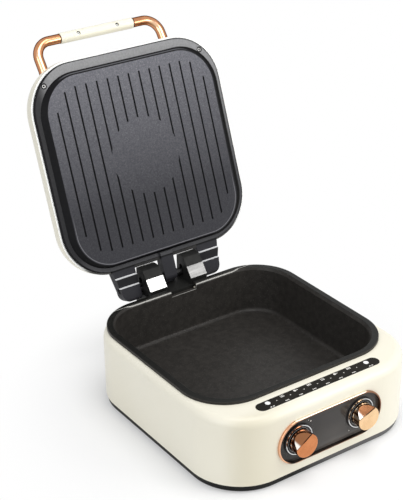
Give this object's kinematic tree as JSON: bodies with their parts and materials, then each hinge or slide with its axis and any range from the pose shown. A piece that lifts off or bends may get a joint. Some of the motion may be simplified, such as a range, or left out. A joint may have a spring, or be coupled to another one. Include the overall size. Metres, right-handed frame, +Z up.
{
  "type": "electric skillet",
  "caption": "Double-sided electric skillet: square body with a deep pan, a hinged lid carrying a ribbed grill plate, a bow handle on the lid and two front knobs.",
  "frame": {"origin": "middle of the body's footprint on the surface that the feet stand on", "axes": "+X to the user's right, -Y to the front with the knobs, +Y to the hinge, +Z up; the lid stands at its open stop"},
  "size_m": [0.333, 0.5823, 0.4581],
  "materials": {
    "ivory_shell": "warm ivory, semi-gloss moulded shell",
    "ivory_grip": "warm ivory, semi-gloss moulded grip",
    "black_housing": "black, fine moulded grain",
    "black_frame": "blue-black, satin",
    "nonstick_pan": "cast, brown-black non-stick coat",
    "nonstick_plate": "cast, blue-black speckled non-stick coat",
    "rubber": "matt black",
    "steel_screws": "bright zinc",
    "hinge_steel": "brushed",
    "control_steel": "zinc-plated sheet and bar",
    "heater_sheath": "heat-dulled sheath",
    "bright_sheet": "bright rolled sheet",
    "bead_ceramic": "unglazed white",
    "thermostat_case": "drawn cup",
    "fuse_sleeve": "glass-fibre sleeve",
    "rose_gold": "rose-gold anodised, polished",
    "chrome_ring": "polished",
    "knob_black": "black gloss",
    "panel_gloss": "charcoal gloss",
    "strip_gloss": "black gloss window",
    "lens_white": "milk-white",
    "board_green": "solder-masked board",
    "switch_case": "moulded black case",
    "inlet_black": "black moulded socket",
    "blade_brass": "nickel-plated brass"
  },
  "bodies": {
    "base": {"base_shell": "ivory_shell", "bottom_cover": "black_housing", "hinge_block": "black_housing", "hinge_arm_left": "black_housing", "hinge_arm_right": "black_housing", "lower_pan": "nonstick_pan", "rubber_feet": "rubber", "bottom_screws": "steel_screws", "hinge_block_screws": "steel_screws", "arm_screws": "steel_screws", "inlet_screws": "steel_screws", "pan_standoffs": "steel_screws", "arm_cover_left": "hinge_steel", "arm_cover_right": "hinge_steel", "switch_bracket": "control_steel", "lower_heating_element": "heater_sheath", "lower_reflector": "bright_sheet", "lower_thermostat_clip": "bright_sheet", "lower_element_beads": "bead_ceramic", "lower_thermostat": "thermostat_case", "lower_thermal_fuse": "fuse_sleeve", "control_trim": "rose_gold", "control_panel": "panel_gloss", "function_strip": "strip_gloss", "indicator_lens_left": "lens_white", "indicator_lens_right": "lens_white", "indicator_board": "board_green", "left_switch": "switch_case", "right_switch": "switch_case", "power_inlet": "inlet_black", "inlet_blades": "blade_brass"},
    "hinge_carriage": {"hinge_pin": "hinge_steel", "pin_collars": "hinge_steel"},
    "lid": {"lid_shell": "ivory_shell", "lid_bezel": "black_frame", "grill_plate": "nonstick_plate", "upper_heating_element": "heater_sheath", "upper_reflector": "bright_sheet", "upper_element_beads": "bead_ceramic", "upper_thermostat": "thermostat_case", "upper_thermostat_clip": "bright_sheet", "upper_thermal_fuse": "fuse_sleeve", "reflector_screws": "steel_screws", "bezel_screws": "steel_screws", "handle_tube": "rose_gold", "grip_lower": "ivory_grip", "grip_upper": "ivory_grip", "grip_screws": "steel_screws", "handle_foot_left": "rose_gold", "handle_foot_right": "rose_gold", "handle_foot_screws": "steel_screws"},
    "left_knob": {"left_knob_shaft": "control_steel", "left_knob_body": "knob_black", "left_knob_cap": "rose_gold", "left_knob_ring": "chrome_ring"},
    "right_knob": {"right_knob_shaft": "control_steel", "right_knob_body": "knob_black", "right_knob_cap": "rose_gold", "right_knob_ring": "chrome_ring"}
  },
  "joints": [
    {"name": "hinge_float", "type": "slide", "parent": "base", "child": "hinge_carriage", "axis": [0, 0, 1], "range_m": [0, 0.008]},
    {"name": "lid_hinge", "type": "hinge", "parent": "hinge_carriage", "child": "lid", "pos_m": [0, 0.203, 0.119], "axis": [1, 0, 0], "range_deg": [0, 110]},
    {"name": "left_knob_turn", "type": "hinge", "parent": "base", "child": "left_knob", "pos_m": [-0.052, -0.175, 0.0585], "axis": [0, -1, 0], "range_deg": [-174, 106]},
    {"name": "right_knob_turn", "type": "hinge", "parent": "base", "child": "right_knob", "pos_m": [0.052, -0.175, 0.0585], "axis": [0, -1, 0], "range_deg": [-161, 119]}
  ]
}
